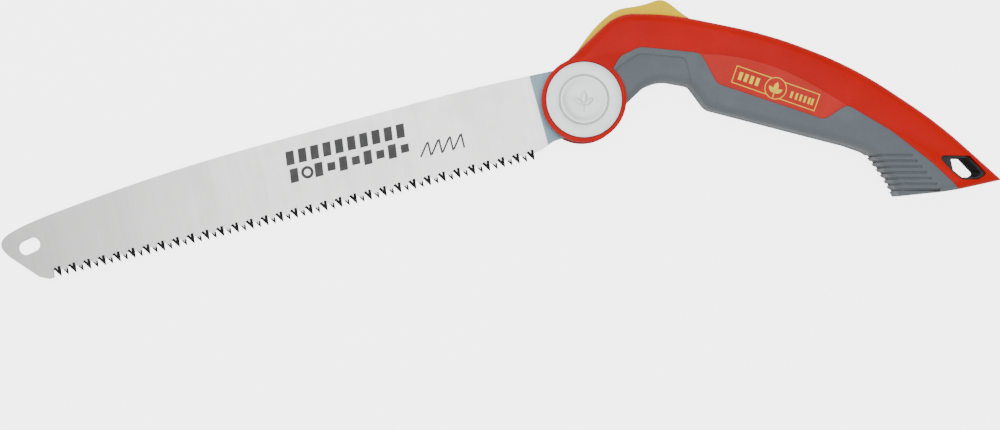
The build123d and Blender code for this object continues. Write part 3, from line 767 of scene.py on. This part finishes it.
@dataclass
class Emblem:
    """Generic leaf sprig: one leaf up the middle and a pair beside it."""

    reach: float
    height: float

    def pieces(self) -> list[bpy.types.Object]:
        """The leaves, about the origin.

        Returns:
            Objects that still have to be joined and placed.
        """
        made = []
        for angle, size in ((90.0, 1.0), (38.0, 0.78), (142.0, 0.78)):
            blade = leaf("leaf", self.reach * size, self.reach * size * 0.42, self.height)
            lift = -self.reach * 0.42
            made.append(turned(blade, radians(angle), (0, lift, 0)))
        size = (self.reach * 0.08, self.reach * 0.45)
        if self.height:
            stem = cube("stem", (*size, self.height), (0, -self.reach * 0.6, self.height / 2))
        else:
            stem = sheet("stem", size, (0, -self.reach * 0.6))
        made.append(stem)
        return made


@dataclass
class PivotDiscs:
    """Satin steel disc over each end of the pivot."""

    radius: float = 20.4 * MM
    thickness: float = 2.9 * MM
    edge: float = 0.45 * MM
    groove_radius: float = 13.2 * MM
    groove_width: float = 0.8 * MM
    groove_depth: float = 0.4 * MM
    top: float = 26.0 * MM
    relief: float = 0.45 * MM
    dish: float = 0.5 * MM              # the middle is this much lower than the outside

    def build(self) -> None:
        """Model the front disc, and copy it to the back."""
        front = self.disc()
        back = duplicate(front, "pivot_disc_back_skin")
        back.rotation_euler = (pi, 0, 0)
        back.location = (0, 0, 2 * MID)
        settle(back)
        for disc, side in ((front, Side.FRONT), (back, Side.BACK)):
            finish(disc, Body.HANDLE, DISC_STEEL, f"pivot_disc_{side.value}", slot="disc_steel")

    def disc(self) -> bpy.types.Object:
        """One disc: rounded edge, groove round the middle, a sprig in low relief."""
        middle = self.top - self.thickness / 2
        made = cylinder("pivot_disc_front_skin", self.radius, self.thickness, (0, 0, middle), 160)
        mark_faces(made, lambda face: face.normal.z > 0.9)
        groove_outside = self.groove_radius + self.groove_width / 2
        steps = (
            (self.radius - groove_outside, 0.0),
            (0.2 * MM, -self.groove_depth),
            (self.groove_width - 0.4 * MM, 0.0),
            (0.2 * MM, self.groove_depth),
            (0.8 * MM, 0.0),
            (0.9 * MM, -0.12 * MM),
            (1.0 * MM, -0.18 * MM),
            (1.2 * MM, -0.14 * MM),
            (1.4 * MM, -0.06 * MM),
        )
        with editing(made, "FACE", "KEEP"):
            for inward, lift in steps:
                bpy.ops.mesh.inset(thickness=inward)
                bpy.ops.transform.translate(value=(0, 0, lift))
        apply_modifier(made, "BEVEL", width=self.edge, segments=3, limit_method="ANGLE",
                       angle_limit=radians(60))
        sprig = join(Emblem(8.6 * MM, self.relief + 0.8 * MM).pieces(), "sprig")
        sprig.location = (0, 0.6 * MM, self.top - self.dish - 0.8 * MM)
        settle(sprig)
        apply_modifier(sprig, "BEVEL", width=0.15 * MM, segments=2, limit_method="ANGLE")
        made = join([made, sprig], "pivot_disc_front_skin")
        smooth(made, 40.0)
        return made


@dataclass
class HandleLabel:
    """Printed label on the sunk field of the front cover."""

    length: float = 47.0 * MM
    height: float = 9.3 * MM
    line: float = 0.45 * MM
    centre: tuple[float, float] = (103.4 * MM, 6.1 * MM)
    tilt: float = radians(-19.5)
    ring_radius: float = 6.0 * MM
    ink: float = 0.06 * MM

    def build(self, cover: bpy.types.Object) -> None:
        """Lay the label out flat, then press it onto the cover.

        Args:
            cover: finished front cover.
        """
        flat = self.frame_bars() + self.text_bars()
        flat.append(ring("ring", self.ring_radius, self.line))
        flat += Emblem(6.4 * MM, 0.0).pieces()
        label = join(flat, "handle_label")
        turned(label, self.tilt, (*self.centre, 30 * MM))
        self.press(label, cover)
        finish(label, Body.HANDLE, LABEL_INK)

    def strip(self, centre: tuple[float, float], size: tuple[float, float]) -> bpy.types.Object:
        """Flat strip of ink, cut finely enough to follow the cover."""
        made = sheet("strip", size, centre)
        with editing(made):
            bpy.ops.mesh.subdivide(number_cuts=3)
        return made

    def frame_bars(self) -> list[bpy.types.Object]:
        """Outline of the label, open where the ring crosses it."""
        half = self.length / 2
        high = self.height / 2
        mouth = (self.ring_radius**2 - high**2) ** 0.5
        side = half - mouth + self.line
        middle = (half + mouth) / 2
        bars = [self.strip((x, 0), (self.line, self.height)) for x in (-half, half)]
        for x in (-middle, middle):
            bars += [self.strip((x, y), (side, self.line)) for y in (-high, high)]
        return bars

    def text_bars(self) -> list[bpy.types.Object]:
        """Plain bars to both sides of the ring."""
        bars = []
        for x in (-20.0, -16.8, -13.6, -10.4):
            bars.append(self.strip((x * MM, 0), (1.9 * MM, 4.4 * MM)))
        for x in (9.2, 12.0, 14.4, 16.8, 19.2, 21.0):
            bars.append(self.strip((x * MM, -0.4 * MM), (1.2 * MM, 3.6 * MM)))
        return bars

    def press(self, label: bpy.types.Object, cover: bpy.types.Object) -> None:
        """Drop the label's vertices onto the cover, its top side a little higher."""
        for vertex in label.data.vertices:
            vertex.co.z = 30 * MM
        apply_modifier(label, "SHRINKWRAP", target=cover, wrap_method="PROJECT",
                       use_project_z=True, use_negative_direction=True,
                       use_positive_direction=False, offset=self.ink)
        thicken(label, self.ink * 0.9)


@dataclass
class HandleShells:
    """Red covers, soft grips and the moulded frame between them."""

    label: HandleLabel
    facet_area: tuple[float, float] = (62.0 * MM, 143.0 * MM)

    def build(self) -> None:
        """All six shells and the label on the front cover."""
        for side in Side:
            core, grip, cover = (f"{kind}_{side.value}" for kind in ("core", "grip", "cover"))
            finish(skin_of(core), Body.HANDLE, FRAME_NYLON, core, slot="frame_nylon")
            finish(skin_of(grip, bevel=0.35 * MM), Body.HANDLE, GRIP_RUBBER, grip,
                   slot="grip_rubber")
            shell = finish(skin_of(cover), Body.HANDLE, RED_SHELL, cover, slot="red_shell")
            self.mark_facet(shell)
            if side is Side.FRONT:
                self.label.build(shell)

    def mark_facet(self, cover: bpy.types.Object) -> None:
        """Give the floor of the sunk field its finer, duller grain, and a lighter red that is
        painted light, as if the field caught more light.
        """
        cover.data.materials.append(RED_FACET_GRAIN_AND_PAINTED_LIGHT.material())
        start, end = self.facet_area
        for face in cover.data.polygons:
            centre = face.center
            below_line = centre.y < self.facet_line(centre.x) - 0.2 * MM
            outside = abs(centre.z - MID) > 9.5 * MM and abs(face.normal.z) > 0.6
            if start < centre.x < end and below_line and outside:
                face.material_index = 1

    def facet_line(self, x: float) -> float:
        """Upper border of the sunk field at a place along the handle."""
        points = ((64.0, 24.9), (93.0, 20.9), (114.4, 12.9), (128.4, 5.2), (142.5, -3.2))
        for (x0, y0), (x1, y1) in zip(points, points[1:]):
            if x <= x1 * MM:
                share = (x / MM - x0) / (x1 - x0)
                return (y0 + share * (y1 - y0)) * MM
        return points[-1][1] * MM


@dataclass
class LockLever:
    """Yellow lock lever with its pawl."""

    def build(self) -> None:
        """Lever skin, pawl and rivets."""
        lever = skin_of("lock_lever", bevel=0.3 * MM)
        finish(lever, Body.LEVER, LEVER_YELLOW, "lock_lever", slot="lever_yellow")
        paint("lock_pawl", ZINC_STEEL)
        paint("pawl_rivets", ZINC_STEEL)


@dataclass
class Fasteners:
    """Pivot hardware, pins, screws, inserts and the lever's spring."""

    spring_foot: tuple[float, float, float] = (47.0 * MM, 30.5 * MM, MID)
    spring_keep: float = 0.72

    def build(self) -> None:
        """Skins for what can be seen, materials for the rest."""
        screws = skin_of("handle_screws", bevel=0.12 * MM)
        finish(screws, Body.HANDLE, SCREW_STEEL, "handle_screws", slot="screw_steel")
        for node in ("pivot_bolt", "pivot_nut", "spring_washer", "pivot_sleeve", "stop_pin",
                     "lever_pin"):
            paint(node, ZINC_STEEL)
        for node in ("thrust_washer_front", "thrust_washer_back"):
            paint(node, WASHER_NYLON)
        paint("screw_inserts", INSERT_BRASS)
        self.spring()

    def spring(self) -> None:
        """Lever spring, which shortens as the lever is pressed in the real saw; here its skin, with
        a mesh of its own.
        """
        coil = skin_of("lever_spring", bevel=0.0)
        finish(coil, Body.HANDLE, SPRING_STEEL, "lever_spring", slot="spring_steel")
        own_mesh(coil)


@dataclass
class Studio:
    """Camera, pale floor, soft lights and an even sky."""

    camera_at: tuple[float, float, float] = (-0.04535, -0.06227, 0.8345)
    lens: float = 54.0
    sky: float = 0.66
    floor_glow: float = 4.0

    def build(self) -> None:
        """Set the studio up."""
        self.camera()
        self.floor()
        self.world()
        self.softbox("overhead", (-0.04, -0.03, 1.35), 1.0, 9.0)
        self.softbox("key", (-0.6, 0.7, 1.0), 0.9, 3.0)

    def camera(self) -> None:
        """Camera that looks straight down."""
        data = bpy.data.cameras.new("view")
        data.lens = self.lens
        data.sensor_width = 36.0
        data.clip_start = 0.01
        made = bpy.data.objects.new("view", data)
        made.location = self.camera_at
        bpy.context.scene.collection.objects.link(made)
        bpy.context.scene.camera = made

    def floor(self) -> None:
        """Pale floor just under the saw."""
        bpy.ops.mesh.primitive_plane_add(size=6, location=(0, 0, -0.2 * MM))
        made = bpy.context.active_object
        made.name = "floor"
        material = bpy.data.materials.new("floor_white")
        material.use_nodes = True
        graph = Graph(material.node_tree)
        shader = material.node_tree.nodes["Principled BSDF"]
        place = graph.add("ShaderNodeTexCoord").outputs["Object"]
        tone = graph.mix(graph.noise(place, 3.0), (0.90, 0.90, 0.90, 1), (0.93, 0.93, 0.93, 1))
        graph.feed(shader.inputs["Base Color"], tone)
        shader.inputs["Roughness"].default_value = 0.9
        shader.inputs["Emission Color"].default_value = (1, 1, 1, 1)
        seen = graph.add("ShaderNodeLightPath").outputs["Is Camera Ray"]
        graph.feed(shader.inputs["Emission Strength"],
                   graph.maths("MULTIPLY", seen, self.floor_glow))
        made.data.materials.append(material)

    def world(self) -> None:
        """Even, bright sky."""
        world = bpy.data.worlds.new("sky")
        world.use_nodes = True
        back = world.node_tree.nodes["Background"]
        back.inputs["Color"].default_value = (1, 1, 1, 1)
        back.inputs["Strength"].default_value = self.sky
        bpy.context.scene.world = world

    def softbox(self, name: str, place: Sequence[float], size: float, power: float) -> None:
        """Square area light aimed at the saw."""
        data = bpy.data.lights.new(name, "AREA")
        data.energy = power
        data.shape = "SQUARE"
        data.size = size
        made = bpy.data.objects.new(name, data)
        made.location = place
        aim = Vector((-0.04, -0.03, 0.0)) - Vector(place)
        made.rotation_euler = aim.to_track_quat("-Z", "Y").to_euler()
        bpy.context.scene.collection.objects.link(made)


def main() -> None:
    """Build every sub-assembly and the studio."""
    logging.basicConfig(level=logging.INFO, format="%(message)s")
    BladeAssembly().build()
    HandleShells(HandleLabel()).build()
    PivotDiscs().build()
    LockLever().build()
    Fasteners().build()
    Studio().build()


if __name__ == "__main__":
    main()
